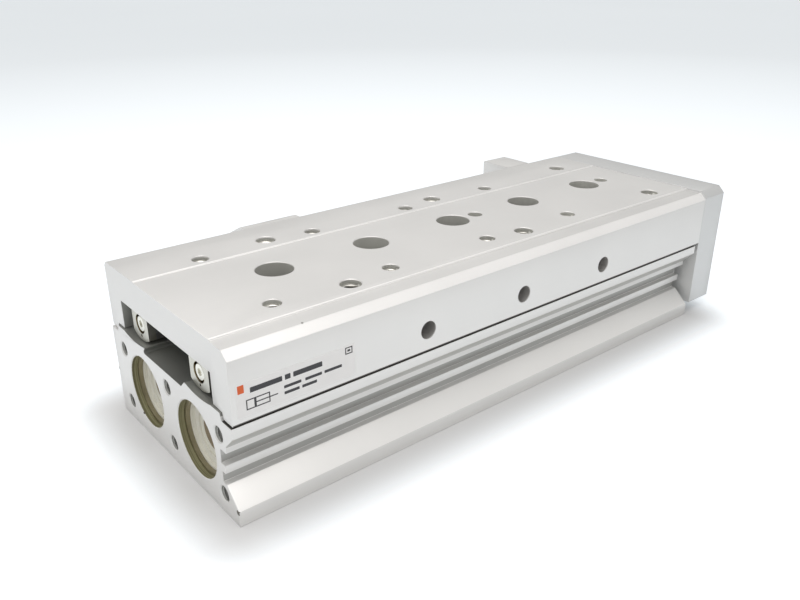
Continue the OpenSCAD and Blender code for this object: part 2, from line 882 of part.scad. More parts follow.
// Wire insert, drawn as the sleeve that its coils fill
module insert(x, y, z, outer, inner, l) {
    translate([x, y, z - l])
        difference() {
            cylinder(h = l, d = outer);
            translate([0, 0, -cut])
                cylinder(h = l + 2 * cut, d = inner);
        }
}

module m5_inserts() {
    color("darkgray")
        for (x = work_xs) {
            insert(x, -work_row_w / 2, top_z - 0.4, insert_m5_d - 2 * fit, 4.2, insert_l);
            insert(x, work_row_w / 2, table_z - 0.4, insert_m5_d - 2 * fit, 4.2, insert_l);
        }
}

module m4_inserts() {
    color("darkgray")
        for (x = rail_screw_xs) {
            insert(x, -rail_screw_y, top_z - 0.4, insert_m4_d - 2 * fit, 3.4, insert_l - 1.6);
            insert(x, rail_screw_y, table_z - 0.4, insert_m4_d - 2 * fit, 3.4, insert_l - 1.6);
        }
}

// Rod with a threaded stud through the piston and a tapped front end
module piston_rods() {
    color("silver")
        at_bores()
            difference() {
                union() {
                    bar(piston_front_x, plate_x - piston_front_x, rod_d);
                    bar(nut_x + 0.2, piston_front_x - nut_x, stud_d);
                }
                bar(plate_x - rod_thread_l, rod_thread_l + cut, m6[0] + 2 * fit);
            }
}

// Piston with grooves for its seal, its magnet and its wear ring
module pistons() {
    color("silver")
        at_bores()
            difference() {
                sleeve(piston_x, piston_l, bore_d - 0.16, stud_d + 2 * fit);
                sleeve(piston_x + 1.7, 3, bore_d + 2, piston_core_d);
                sleeve(piston_x + 6.7, 4, bore_d + 2, piston_core_d);
                sleeve(piston_x + 12.2, 2.5, bore_d + 2, bore_d - 2);
            }
}

module piston_nuts() {
    color("dimgray")
        at_bores()
            difference() {
                translate([nut_x, 0, 0])
                    face_front()
                        cylinder(h = nut_t, d = 10 / cos(30), $fn = 6);
                bar(nut_x - cut, nut_t + 2 * cut, stud_d + 2 * fit);
            }
}

module piston_seals() {
    color("black")
        at_bores() sleeve(piston_x + 1.75, 2.9, bore_d - 2 * run, piston_core_d + 2 * fit);
}

module piston_magnets() {
    color("dimgray")
        at_bores() sleeve(piston_x + 6.75, 3.9, bore_d - 0.6, piston_core_d + 2 * fit);
}

module wear_rings() {
    color("sienna")
        at_bores() sleeve(piston_x + 12.25, 2.4, bore_d - 2 * run, bore_d - 2 + 2 * fit);
}

module rod_bolts() {
    color("dimgray")
        at_bores()
            translate([rod_head_x, 0, 0])
                face_front() socket_screw(m6, rod_head_x - plate_x + rod_thread_l - 1);
}

// Loose fitting sleeves that let the rods find their own centre in the end plate
module rod_bushings() {
    color("goldenrod")
        at_bores() sleeve(plate_x + 0.05, rod_head_x - plate_x - 0.1, 9, m6[0] + 2 * fit);
}

// Stopper block on the far side of the table
module stopper() {
    color("silver")
        difference() {
            along_x(tail_x + stopper_x, stopper_l)
                polygon([
                    [half_w, stopper_base_z],
                    [half_w + stopper_w, stopper_base_z],
                    [half_w + stopper_w, stopper_shoulder_z],
                    [half_w + stopper_top_w, stopper_top_z],
                    [half_w, stopper_top_z]
                ]);
            for (x = stopper_screw_xs)
                translate([x, half_w - cut, stopper_screw_z])
                    face_far() {
                        cylinder(h = holder_w, d = m5[0] + 0.5);
                        translate([0, 0, stopper_w - m5[2] - 0.4 + cut])
                            cylinder(h = holder_w, d = m5[1] + 0.5);
                    }
        }
}

module stopper_screws() {
    color("dimgray")
        for (x = stopper_screw_xs)
            translate([x, half_w + stopper_w - m5[2] - 0.4, stopper_screw_z])
                face_far() socket_screw(m5, stopper_w - m5[2] - 0.4 + 8);
}

// Adjuster holder: bolted to the body, standing clear of the moving table above it
module adjuster_holder() {
    color("silver")
        difference() {
            along_x(holder_x, holder_l)
                polygon([
                    [half_w, holder_base_z],
                    [half_w + holder_w - 0.8, holder_base_z],
                    [half_w + holder_w, holder_base_z + 0.8],
                    [half_w + holder_w, holder_z - 0.4],
                    [half_w + holder_w - 0.4, holder_z],
                    [half_w + holder_clear, holder_z],
                    [half_w + holder_clear, shoulder_z - 0.6],
                    [half_w, shoulder_z - 0.6]
                ]);
            bar(holder_x - cut, holder_l + 2 * cut, bolt_d + 2 * run, bolt_y, bolt_z);
            for (z = holder_screw_zs)
                translate([holder_x + holder_l / 2, half_w - cut, z])
                    face_far() {
                        cylinder(h = 2 * holder_w, d = m5[0] + 0.5);
                        translate([0, 0, holder_w - m5[2] - 0.4 + cut])
                            cylinder(h = holder_w, d = m5[1] + 0.5);
                    }
        }
}

module adjuster_holder_screws() {
    color("dimgray")
        for (z = holder_screw_zs)
            translate([holder_x + holder_l / 2, half_w + holder_w - m5[2] - 0.4, z])
                face_far() socket_screw(m5, holder_w - m5[2] - 0.4 + holder_thread_l - 1);
}

module lock_nut() {
    color("dimgray")
        difference() {
            translate([holder_x + holder_l, bolt_y, bolt_z])
                face_front()
                    cylinder(h = lock_nut_t, d = nut_af / cos(30), $fn = 6);
            bar(holder_x, holder_l + 2 * lock_nut_t, bolt_d + 2 * run, bolt_y, bolt_z);
        }
}

// Fully threaded bolt with a hex socket in front and a socket for the bumper behind
module adjuster_bolt() {
    color("dimgray")
        difference() {
            translate([bolt_tip_x, bolt_y, bolt_z])
                face_front()
                    rotate_extrude()
                        polygon([
                            [0, 0],
                            [bolt_d / 2, 0],
                            [bolt_d / 2, bolt_l - 0.6],
                            [bolt_d / 2 - 0.6, bolt_l],
                            [0, bolt_l]
                        ]);
            bar(bolt_tip_x - cut, bumper_stem_l + cut + 0.3, bumper_stem_d + 2 * run, bolt_y, bolt_z);
            translate([bolt_tip_x + bolt_l - 4, bolt_y, bolt_z])
                face_front()
                    cylinder(h = 4 + cut, d = 4 / cos(30), $fn = 6);
        }
}

module adjuster_bumper() {
    color("black") {
        tip_x = holder_x - bumper_reach;
        bar(tip_x, bolt_tip_x - run - tip_x, bumper_d, bolt_y, bolt_z);
        bar(bolt_tip_x - run, bumper_stem_l, bumper_stem_d, bolt_y, bolt_z);
    }
}

module label() {
    color("white")
        translate([tail_x + 1.6, -half_w - label_t, shoulder_z + table_gap + 1.65])
            cube([label_l, label_t, label_h]);
}

housing();
head_caps();
cap_o_rings();
cap_retaining_rings();
rear_bumpers();
rod_glands();
gland_o_rings();
rod_seals();
gland_retaining_rings();
front_bumpers();
retraction_bumpers();
guide_block();
guide_block_screws();
block_stop_screws();
adjuster_holder();
adjuster_holder_screws();
lock_nut();
adjuster_bolt();
adjuster_bumper();
near_cage();
far_cage();
near_rollers();
far_rollers();
table();
end_plate();
end_plate_screws();
near_rail();
far_rail();
rail_screws();
rail_end_plates();
rail_end_screws();
preload_screws();
m5_inserts();
m4_inserts();
piston_rods();
pistons();
piston_nuts();
piston_seals();
piston_magnets();
wear_rings();
rod_bolts();
rod_bushings();
stopper();
stopper_screws();
label();
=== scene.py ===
"""Looks of a compact pneumatic slide table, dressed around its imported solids."""

import json
import logging
import math
from dataclasses import dataclass
from enum import Enum
from typing import Callable, Iterable, Sequence

import bmesh
import bpy
from mathutils import Euler, Matrix, Vector


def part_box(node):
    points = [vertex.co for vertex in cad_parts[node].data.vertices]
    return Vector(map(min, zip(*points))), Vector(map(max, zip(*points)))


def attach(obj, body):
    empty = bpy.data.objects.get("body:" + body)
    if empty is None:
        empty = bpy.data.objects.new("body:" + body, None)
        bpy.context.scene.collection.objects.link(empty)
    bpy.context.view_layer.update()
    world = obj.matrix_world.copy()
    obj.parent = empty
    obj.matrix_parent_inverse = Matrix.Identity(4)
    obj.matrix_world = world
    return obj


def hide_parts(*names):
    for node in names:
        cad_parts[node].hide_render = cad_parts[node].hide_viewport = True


LOG = logging.getLogger("slide_table")
MM = 0.001
# Points closer than this are one point, in a new piece and in a copied node
MERGE = 1e-7
NODE_MERGE = 1e-6
Colour = tuple[float, float, float]
Point = tuple[float, float, float]
Box = tuple[Point, Point]
Spot = tuple[Point, float]
Rect = tuple[float, float, float, float]


class Axis(Enum):
    """Directions in which a thread can point, as turns of a coil that stands along +Z."""

    UP = (0.0, 0.0, 0.0)
    FRONT = (0.0, math.pi / 2, 0.0)
    REAR = (0.0, -math.pi / 2, 0.0)


class Graph:
    """Short hand for the nodes of one procedural material."""

    def __init__(self, name: str) -> None:
        """Starts a material with a Principled shader.

        Args:
            name: Name of the material.
        """
        self.material = bpy.data.materials.new(name)
        self.material.use_nodes = True
        self.nodes = self.material.node_tree.nodes
        self.links = self.material.node_tree.links
        self.shader = self.nodes["Principled BSDF"]
        self.coords = self.nodes.new("ShaderNodeTexCoord").outputs["Object"]

    def set(self, **sockets: float) -> None:
        """Writes constants on the shader's own sockets.

        Args:
            sockets: Values by socket name, with underscores for spaces.
        """
        for socket, value in sockets.items():
            self.shader.inputs[socket.replace("_", " ")].default_value = value

    def axes(self) -> bpy.types.bpy_prop_collection:
        """Splits the object's own coordinates.

        Returns:
            The outputs X, Y and Z.
        """
        node = self.nodes.new("ShaderNodeSeparateXYZ")
        self.links.new(self.coords, node.inputs[0])
        return node.outputs

    def stretch(self, scale: Point) -> bpy.types.NodeSocket:
        """Stretches the object's own coordinates.

        Args:
            scale: Factor along each axis.

        Returns:
            The vector output.
        """
        node = self.nodes.new("ShaderNodeMapping")
        node.inputs["Scale"].default_value = scale
        self.links.new(self.coords, node.inputs["Vector"])
        return node.outputs["Vector"]

    def noise(
        self,
        scale: float,
        detail: float = 2.0,
        vector: bpy.types.NodeSocket | None = None,
    ) -> bpy.types.NodeSocket:
        """Adds soft noise.

        Args:
            scale: Spots per metre of the vector.
            detail: Octaves of the noise.
            vector: Coordinates, or the object's own when left out.

        Returns:
            The factor output, about 0.5 in the middle.
        """
        node = self.nodes.new("ShaderNodeTexNoise")
        node.inputs["Scale"].default_value = scale
        node.inputs["Detail"].default_value = detail
        self.links.new(vector or self.coords, node.inputs["Vector"])
        return node.outputs["Fac"]

    def math(self, kind: str, *values: float | bpy.types.NodeSocket) -> bpy.types.NodeSocket:
        """Adds one Math node.

        Args:
            kind: Operation, such as MULTIPLY.
            values: Numbers or outputs, in the node's order.

        Returns:
            The value output.
        """
        node = self.nodes.new("ShaderNodeMath")
        node.operation = kind
        for socket, value in zip(node.inputs, values):
            if isinstance(value, (int, float)):
                socket.default_value = value
            else:
                self.links.new(value, socket)
        return node.outputs[0]

    def ramp(
        self, value: bpy.types.NodeSocket, stops: Sequence[tuple[float, Colour]]
    ) -> bpy.types.NodeSocket:
        """Turns a value into a colour.

        Args:
            value: Factor output.
            stops: Places from 0 to 1 and their colours.

        Returns:
            The colour output.
        """
        node = self.nodes.new("ShaderNodeValToRGB")
        bar = node.color_ramp.elements
        while len(bar) < len(stops):
            bar.new(0.5)
        for element, (place, colour) in zip(bar, stops):
            element.position = place
            element.color = (*colour, 1.0)
        self.links.new(value, node.inputs["Fac"])
        return node.outputs["Color"]

    def mix(
        self,
        factor: bpy.types.NodeSocket | float,
        low: bpy.types.NodeSocket | Colour,
        high: bpy.types.NodeSocket | Colour,
    ) -> bpy.types.NodeSocket:
        """Blends two colours.

        Args:
            factor: 0 for the first colour and 1 for the second.
            low: First colour.
            high: Second colour.

        Returns:
            The colour output.
        """
        node = self.nodes.new("ShaderNodeMix")
        node.data_type = "RGBA"
        factor_socket, low_socket, high_socket = (node.inputs[i] for i in (0, 6, 7))
        pairs = ((factor_socket, factor), (low_socket, low), (high_socket, high))
        for socket, value in pairs:
            if isinstance(value, (int, float)):
                socket.default_value = value
            elif isinstance(value, tuple):
                socket.default_value = (*value, 1.0)
            else:
                self.links.new(value, socket)
        return node.outputs[2]

    def colour(self, value: bpy.types.NodeSocket) -> None:
        """Links the base colour.

        Args:
            value: Colour output.
        """
        self.links.new(value, self.shader.inputs["Base Color"])

    def remap(
        self,
        value: bpy.types.NodeSocket,
        source: tuple[float, float],
        target: tuple[float, float],
        kind: str = "LINEAR",
    ) -> bpy.types.NodeSocket:
        """Maps one range of a value onto another.

        Args:
            value: Value output.
            source: Low and high end of the value.
            target: Result at those ends, which is held beyond them.
            kind: Interpolation between the ends.

        Returns:
            The result output.
        """
        node = self.nodes.new("ShaderNodeMapRange")
        node.interpolation_type = kind
        names = ("From Min", "From Max", "To Min", "To Max")
        for name, number in zip(names, (*source, *target)):
            node.inputs[name].default_value = number
        self.links.new(value, node.inputs["Value"])
        return node.outputs["Result"]

    def roughness(self, value: bpy.types.NodeSocket, low: float, high: float) -> None:
        """Spreads a factor over a range of roughness.

        Args:
            value: Factor output, about 0 to 1.
            low: Roughness at 0.
            high: Roughness at 1.
        """
        result = self.remap(value, (0.0, 1.0), (low, high))
        self.links.new(result, self.shader.inputs["Roughness"])

    def bump(self, value: bpy.types.NodeSocket, height: float, strength: float = 1.0) -> None:
        """Raises the surface by a factor.

        Args:
            value: Height factor.
            height: Height in metres for a factor of 1.
            strength: Share of the effect that is kept.
        """
        node = self.nodes.new("ShaderNodeBump")
        node.inputs["Distance"].default_value = height
        node.inputs["Strength"].default_value = strength
        self.links.new(value, node.inputs["Height"])
        self.links.new(node.outputs["Normal"], self.shader.inputs["Normal"])

    def ring_distance(self, y: float, z: float) -> bpy.types.NodeSocket:
        """Distance from an axis that runs along X.

        Args:
            y: Side distance of the axis; both sides are measured at once.
            z: Height of the axis.

        Returns:
            The distance in metres.
        """
        axes = self.axes()
        side = self.math("SUBTRACT", self.math("ABSOLUTE", axes["Y"]), y)
        rise = self.math("SUBTRACT", axes["Z"], z)
        return self.length(side, rise)

    def length(self, *sides: bpy.types.NodeSocket) -> bpy.types.NodeSocket:
        """Measures the diagonal over two sides.

        Args:
            sides: Lengths of the two sides.

        Returns:
            The diagonal's length.
        """
        squares = (self.math("MULTIPLY", side, side) for side in sides)
        return self.math("SQRT", self.math("ADD", *squares))

    def box_mask(self, low: Point, high: Point) -> bpy.types.NodeSocket:
        """Marks what lies inside a box of the object's coordinates.

        Args:
            low: Lowest corner in metres.
            high: Highest corner in metres.

        Returns:
            1 inside the box and 0 outside.
        """
        axes = self.axes()
        mask: float | bpy.types.NodeSocket = 1.0
        for value, least, most in zip((axes[i] for i in "XYZ"), low, high):
            mask = self.math("MULTIPLY", mask, self.math("GREATER_THAN", value, least))
            mask = self.math("MULTIPLY", mask, self.math("LESS_THAN", value, most))
        return mask

    def spot(self, at: Point, radius: float) -> bpy.types.NodeSocket:
        """Marks a small uneven spot.

        Args:
            at: Middle of the spot in metres.
            radius: Its radius in metres.

        Returns:
            1 inside the spot and 0 outside.
        """
        far = self.nodes.new("ShaderNodeVectorMath")
        far.operation = "DISTANCE"
        far.inputs[1].default_value = at
        self.links.new(self.coords, far.inputs[0])
        ragged = self.math("MULTIPLY", self.noise(0.7 / radius), 2.0 * radius)
        return self.math("LESS_THAN", far.outputs["Value"], ragged)


@dataclass(frozen=True)
class Shade:
    """A region of a finish with a tone laid over it: painted shade and painted highlight in most uses, the
    colour of wear marks in the rest; as boxes, wells as radius, y and z, or small spots.
    """

    tone: Colour
    boxes: tuple[Box, ...] = ()
    wells: tuple[tuple[float, float, float], ...] = ()
    spots: tuple[Spot, ...] = ()
    mottle: float = 0.78

    def apply(
        self, g: Graph, colour: bpy.types.NodeSocket, cloud: bpy.types.NodeSocket
    ) -> bpy.types.NodeSocket:
        """Lays the tone over a colour.

        Args:
            g: Graph of the material.
            colour: Colour so far.
            cloud: Noise that mottles the tone.

        Returns:
            The new colour.
        """
        dim = tuple(self.mottle * c for c in self.tone)
        tone = g.ramp(cloud, ((0.3, dim), (0.7, self.tone)))
        for low, high in self.boxes:
            colour = g.mix(g.box_mask(low, high), colour, tone)
        for radius, y, z in self.wells:
            colour = g.mix(g.math("LESS_THAN", g.ring_distance(y, z), radius), colour, tone)
        for at, radius in self.spots:
            colour = g.mix(g.spot(at, radius), colour, tone)
        return colour


@dataclass(frozen=True)
class SatinAluminium:
    """Clear anodised aluminium with a fine etched grain and faint lengthwise lines.

    A bore, as radius, y and z of its axis, gets painted shade on its wall: olive-brown tones with tool
    rings.
    """

    tone: Colour = (0.800, 0.797, 0.785)
    shade: float = 0.965
    metal: float = 0.40
    rough_low: float = 0.36
    rough_high: float = 0.48
    lines: float = 0.25
    cloud: float = 38.0
    grain: float = 5200.0
    streak: Point = (14.0, 1500.0, 1500.0)
    relief: float = 0.000012
    grain_share: float = 0.7
    bore: tuple[float, float, float] | None = None
    rings: Point = (2600.0, 14.0, 14.0)
    # Painted shade inside the bore: olive-brown tones laid over tool rings.
    bore_shade_tones: tuple[tuple[float, Colour], ...] = (
        (0.35, (0.16, 0.15, 0.08)),
        (0.50, (0.25, 0.24, 0.135)),
        (0.66, (0.36, 0.35, 0.22)),
    )
    shades: tuple[Shade, ...] = ()

    def build(self, name: str) -> bpy.types.Material:
        """Makes the material.

        Args:
            name: Name of the material.

        Returns:
            The finished material.
        """
        g = Graph(name)
        g.set(Metallic=self.metal)
        dark = tuple(c * self.shade for c in self.tone)
        cloud = g.noise(self.cloud, 3.0)
        grain = g.noise(self.grain)
        streak = g.noise(1.0, 3.0, g.stretch(self.streak))
        blend = g.math(
            "ADD",
            g.math("MULTIPLY", cloud, 1.0 - self.lines),
            g.math("MULTIPLY", streak, self.lines),
        )
        colour = g.ramp(blend, ((0.34, dark), (0.62, self.tone)))
        # Painted shade: the bore's wall is darkened to olive-brown, with tool rings.
        if self.bore:
            radius, y, z = self.bore
            bore_shade_tones = g.ramp(g.noise(1.0, vector=g.stretch(self.rings)), self.bore_shade_tones)
            inside = g.math("LESS_THAN", g.ring_distance(y, z), radius)
            colour = g.mix(inside, colour, bore_shade_tones)
        for shade in self.shades:
            colour = shade.apply(g, colour, cloud)
        g.colour(colour)
        g.roughness(blend, self.rough_low, self.rough_high)
        height = g.math(
            "ADD",
            g.math("MULTIPLY", grain, self.grain_share),
            g.math("MULTIPLY", streak, 1.0 - self.grain_share),
        )
        g.bump(height, self.relief, 0.6)
        return g.material


@dataclass(frozen=True)
class TurnedMetal:
    """Bare or plated metal with fine tool marks, or with thread turns along X where a pitch is given."""

    tone: Colour
    shade: float = 0.82
    metal: float = 1.0
    rough_low: float = 0.22
    rough_high: float = 0.38
    grain: float = 2400.0
    marks: float = 0.000006
    pitch: float = 0.0
    thread_depth: float = 0.45
    patch: float = 260.0
    shades: tuple[Shade, ...] = ()

    def build(self, name: str) -> bpy.types.Material:
        """Makes the material.

        Args:
            name: Name of the material.

        Returns:
            The finished material.
        """
        g = Graph(name)
        g.set(Metallic=self.metal)
        patch = g.noise(self.patch, 3.0)
        dark = tuple(c * self.shade for c in self.tone)
        colour = g.ramp(patch, ((0.3, dark), (0.65, self.tone)))
        for shade in self.shades:
            colour = shade.apply(g, colour, patch)
        g.colour(colour)
        g.roughness(patch, self.rough_low, self.rough_high)
        if self.pitch:
            turns = g.math("PINGPONG", g.axes()["X"], self.pitch / 2)
            g.bump(g.math("MULTIPLY", turns, 2.0 / self.pitch), self.pitch * self.thread_depth)
        else:
            g.bump(g.noise(self.grain), self.marks, 0.5)
        return g.material


@dataclass(frozen=True)
class Moulded:
    """Resin, rubber or film with a soft mottle and a fine skin."""

    tone: Colour
    shade: float = 0.85
    rough_low: float = 0.45
    rough_high: float = 0.65
    patch: float = 320.0
    skin: float = 3800.0
    relief: float = 0.00001
    gloss: float = 0.5
    shades: tuple[Shade, ...] = ()

    def build(self, name: str) -> bpy.types.Material:
        """Makes the material.

        Args:
            name: Name of the material.

        Returns:
            The finished material.
        """
        g = Graph(name)
        g.set(Specular_IOR_Level=self.gloss)
        cloud = g.noise(self.patch, 4.0)
        dark = tuple(c * self.shade for c in self.tone)
        colour = g.ramp(cloud, ((0.3, dark), (0.7, self.tone)))
        for shade in self.shades:
            colour = shade.apply(g, colour, cloud)
        g.colour(colour)
        g.roughness(cloud, self.rough_low, self.rough_high)
        g.bump(g.noise(self.skin), self.relief, 0.5)
        return g.material


class Bench:
    """Modelling moves that every sub-assembly shares."""

    @staticmethod
    def clear() -> None:
        """Leaves edit mode and deselects everything."""
        if bpy.context.object and bpy.context.object.mode != "OBJECT":
            bpy.ops.object.mode_set(mode="OBJECT")
        bpy.ops.object.select_all(action="DESELECT")

    @staticmethod
    def hold(piece: bpy.types.Object) -> None:
        """Makes one piece the only selected and active one.

        Args:
            piece: Object to select.
        """
        Bench.clear()
        piece.select_set(True)
        bpy.context.view_layer.objects.active = piece

    @staticmethod
    def edit(piece: bpy.types.Object, action: Callable[[bmesh.types.BMesh], None]) -> None:
        """Runs one action in edit mode.

        Args:
            piece: Object to edit.
            action: Receives the mesh being edited; it selects and calls operators.
        """
        Bench.hold(piece)
        bpy.ops.object.mode_set(mode="EDIT")
        action(bmesh.from_edit_mesh(piece.data))
        bpy.ops.object.mode_set(mode="OBJECT")

    @staticmethod
    def modify(piece: bpy.types.Object, kind: str, **values: object) -> None:
        """Adds a modifier and applies it.

        Args:
            piece: Object that gets it.
            kind: Type of the modifier.
            values: Its settings.
        """
        Bench.hold(piece)
        modifier = piece.modifiers.new(kind.title(), kind)
        for key, value in values.items():
            setattr(modifier, key, value)
        bpy.ops.object.modifier_apply(modifier=modifier.name)

    @staticmethod
    def settle(piece: bpy.types.Object, at: Point, turn: Point = (0, 0, 0)) -> None:
        """Puts the place and the turn of a piece into its mesh.

        Args:
            piece: Object to place.
            at: Where its origin's point goes, in metres.
            turn: Angles in radians.
        """
        piece.data.transform(Matrix.Translation(at) @ Euler(turn).to_matrix().to_4x4())

    @staticmethod
    def join(pieces: Sequence[bpy.types.Object], name: str) -> bpy.types.Object:
        """Joins copies into one piece.

        Args:
            pieces: Objects to join.
            name: Name of the result.

        Returns:
            The joined object.
        """
        Bench.clear()
        for piece in pieces:
            piece.select_set(True)
        bpy.context.view_layer.objects.active = pieces[0]
        if len(pieces) > 1:
            bpy.ops.object.join()
        pieces[0].name = name
        return pieces[0]

    @staticmethod
    def copy(piece: bpy.types.Object, name: str) -> bpy.types.Object:
        """Copies a piece with its own mesh.

        Args:
            piece: Object to copy.
            name: Name of the copy.

        Returns:
            The copy.
        """
        twin = bpy.data.objects.new(name, piece.data.copy())
        bpy.context.scene.collection.objects.link(twin)
        return twin

    @staticmethod
    def parts(piece: bpy.types.Object) -> list[tuple[Vector, Vector]]:
        """Splits a piece into its shells, measures them and removes them.

        Args:
            piece: Object with several loose shells.

        Returns:
            Lowest and highest corner of each shell.
        """
        Bench.hold(piece)
        bpy.ops.object.mode_set(mode="EDIT")
        bpy.ops.mesh.select_all(action="SELECT")
        bpy.ops.mesh.separate(type="LOOSE")
        bpy.ops.object.mode_set(mode="OBJECT")
        boxes = []
        for shell in list(bpy.context.selected_objects):
            columns = list(zip(*(vertex.co for vertex in shell.data.vertices)))
            boxes.append((Vector(map(min, columns)), Vector(map(max, columns))))
            bpy.data.objects.remove(shell)
        return sorted(boxes, key=lambda box: tuple(box[0]))

    @staticmethod
    def outwards(piece: bpy.types.Object) -> None:
        """Merges doubles and points all faces outwards.

        Args:
            piece: Object to mend.
        """

        def act(_: bmesh.types.BMesh) -> None:
            """Merges and turns the faces."""
            bpy.ops.mesh.select_all(action="SELECT")
            bpy.ops.mesh.remove_doubles(threshold=MERGE)
            bpy.ops.mesh.normals_make_consistent(inside=False)

        Bench.edit(piece, act)

    @staticmethod
    def soften(piece: bpy.types.Object, degrees: float = 32.0) -> None:
        """Shades a piece smooth where its faces meet gently.

        Args:
            piece: Object to shade.
            degrees: Steepest edge that still looks smooth.
        """
        Bench.hold(piece)
        bpy.ops.object.shade_smooth_by_angle(angle=math.radians(degrees))

    @staticmethod
    def paint(piece: bpy.types.Object, material: bpy.types.Material) -> None:
        """Gives a piece one material.

        Args:
            piece: Object to paint.
            material: Its finish.
        """
        piece.data.materials.clear()
        piece.data.materials.append(material)


@dataclass
class Helix:
    """One thread or wire coil, swept from a small section."""

    radius: float
    pitch: float
    length: float
    wire: float
    sides: int = 4
    steps: int = 32

    def build(self, name: str) -> bpy.types.Object:
        """Models the coil along +Z from the origin.

        Args:
            name: Name of the piece.

        Returns:
            The coil.
        """
        Bench.clear()
        bpy.ops.mesh.primitive_circle_add(
            vertices=self.sides,
            radius=self.wire,
            location=(0, 0, 0),
            rotation=(math.pi / 2, 0, 0),
        )
        coil = bpy.context.object
        coil.name = name
        bpy.ops.object.transform_apply(location=False, rotation=True, scale=False)
        Bench.settle(coil, (self.radius, 0, self.wire))
        turns = max(1, int((self.length - 2 * self.wire) / self.pitch))
        Bench.modify(
            coil,
            "SCREW",
            screw_offset=self.pitch,
            iterations=turns,
            steps=self.steps,
            render_steps=self.steps,
            use_merge_vertices=False,
        )

        def act(_: bmesh.types.BMesh) -> None:
            """Closes the ends of the coil."""
            bpy.ops.mesh.select_all(action="SELECT")
            bpy.ops.mesh.fill_holes(sides=0)

        Bench.edit(coil, act)
        Bench.outwards(coil)
        return coil


def thread_set(
    name: str, helix: Helix, places: Iterable[Point], axis: Axis, finish: bpy.types.Material
) -> bpy.types.Object:
    """Copies one coil to several holes.

    Args:
        name: Name of the joined piece.
        helix: Coil to repeat.
        places: Start of the coil in each hole.
        axis: Direction of the coils.
        finish: Material of the coils.

    Returns:
        The joined coils.
    """
    first = helix.build(name)
    copies = []
    for number, place in enumerate(places):
        twin = Bench.copy(first, f"{name}_{number}")
        Bench.settle(twin, place, axis.value)
        copies.append(twin)
    bpy.data.objects.remove(first)
    piece = Bench.join(copies, name)
    Bench.paint(piece, finish)
    Bench.soften(piece, 50.0)
    return piece


@dataclass
class EdgeBreaker:
    """Copies a machined node and breaks its long edges, those along X the most."""

    node: str
    width: float = 0.0002
    end_share: float = 0.5
    min_length: float = 0.004
    segments: int = 2
    flat: float = math.radians(0.4)
    sharp: float = math.radians(35.0)
    along: float = 0.9

    def build(self) -> bpy.types.Object:
        """Makes the copy.

        Returns:
            The dressed copy, which stands for the node.
        """
        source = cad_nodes()[self.node]
        piece = Bench.copy(source, f"{self.node}_machined")
        Bench.hold(piece)
        bpy.ops.mesh.customdata_custom_splitnormals_clear()

        def act(_: bmesh.types.BMesh) -> None:
            """Merges the copy into flat faces and weighs its sharp edges for the bevel."""
            bpy.ops.mesh.select_all(action="SELECT")
            bpy.ops.mesh.remove_doubles(threshold=NODE_MERGE)
            bpy.ops.mesh.dissolve_limited(angle_limit=self.flat)
            fresh = bmesh.from_edit_mesh(piece.data)
            weight = fresh.edges.layers.float.new("bevel_weight_edge")
            for edge in fresh.edges:
                length = edge.calc_length()
                if len(edge.link_faces) != 2 or length < self.min_length:
                    continue
                if edge.calc_face_angle(0.0) < self.sharp:
                    continue
                start, end = (vertex.co.x for vertex in edge.verts)
                lengthwise = abs(start - end) > self.along * length
                edge[weight] = 1.0 if lengthwise else self.end_share
            bmesh.update_edit_mesh(piece.data)

        Bench.edit(piece, act)
        Bench.modify(
            piece,
            "BEVEL",
            width=self.width,
            segments=self.segments,
            limit_method="WEIGHT",
            use_clamp_overlap=False,
        )
        Bench.soften(piece, 40.0)
        stand_in(piece, self.node)
        LOG.info("%s: edges broken", self.node)
        return piece


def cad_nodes() -> dict[str, bpy.types.Object]:
    """Looks up the CAD nodes.

    Returns:
        The nodes by name.
    """
    return FRAME["nodes"]


def stand_in(piece: bpy.types.Object, node: str) -> None:
    """Lets a piece stand for a CAD node, on the same body.

    Args:
        piece: Modelled piece.
        node: CAD node that it hides.
    """
    record = FRAME["record"]
    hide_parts(node)
    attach(piece, next(b for b, held in record["behaviour"]["bodies"].items() if node in held))


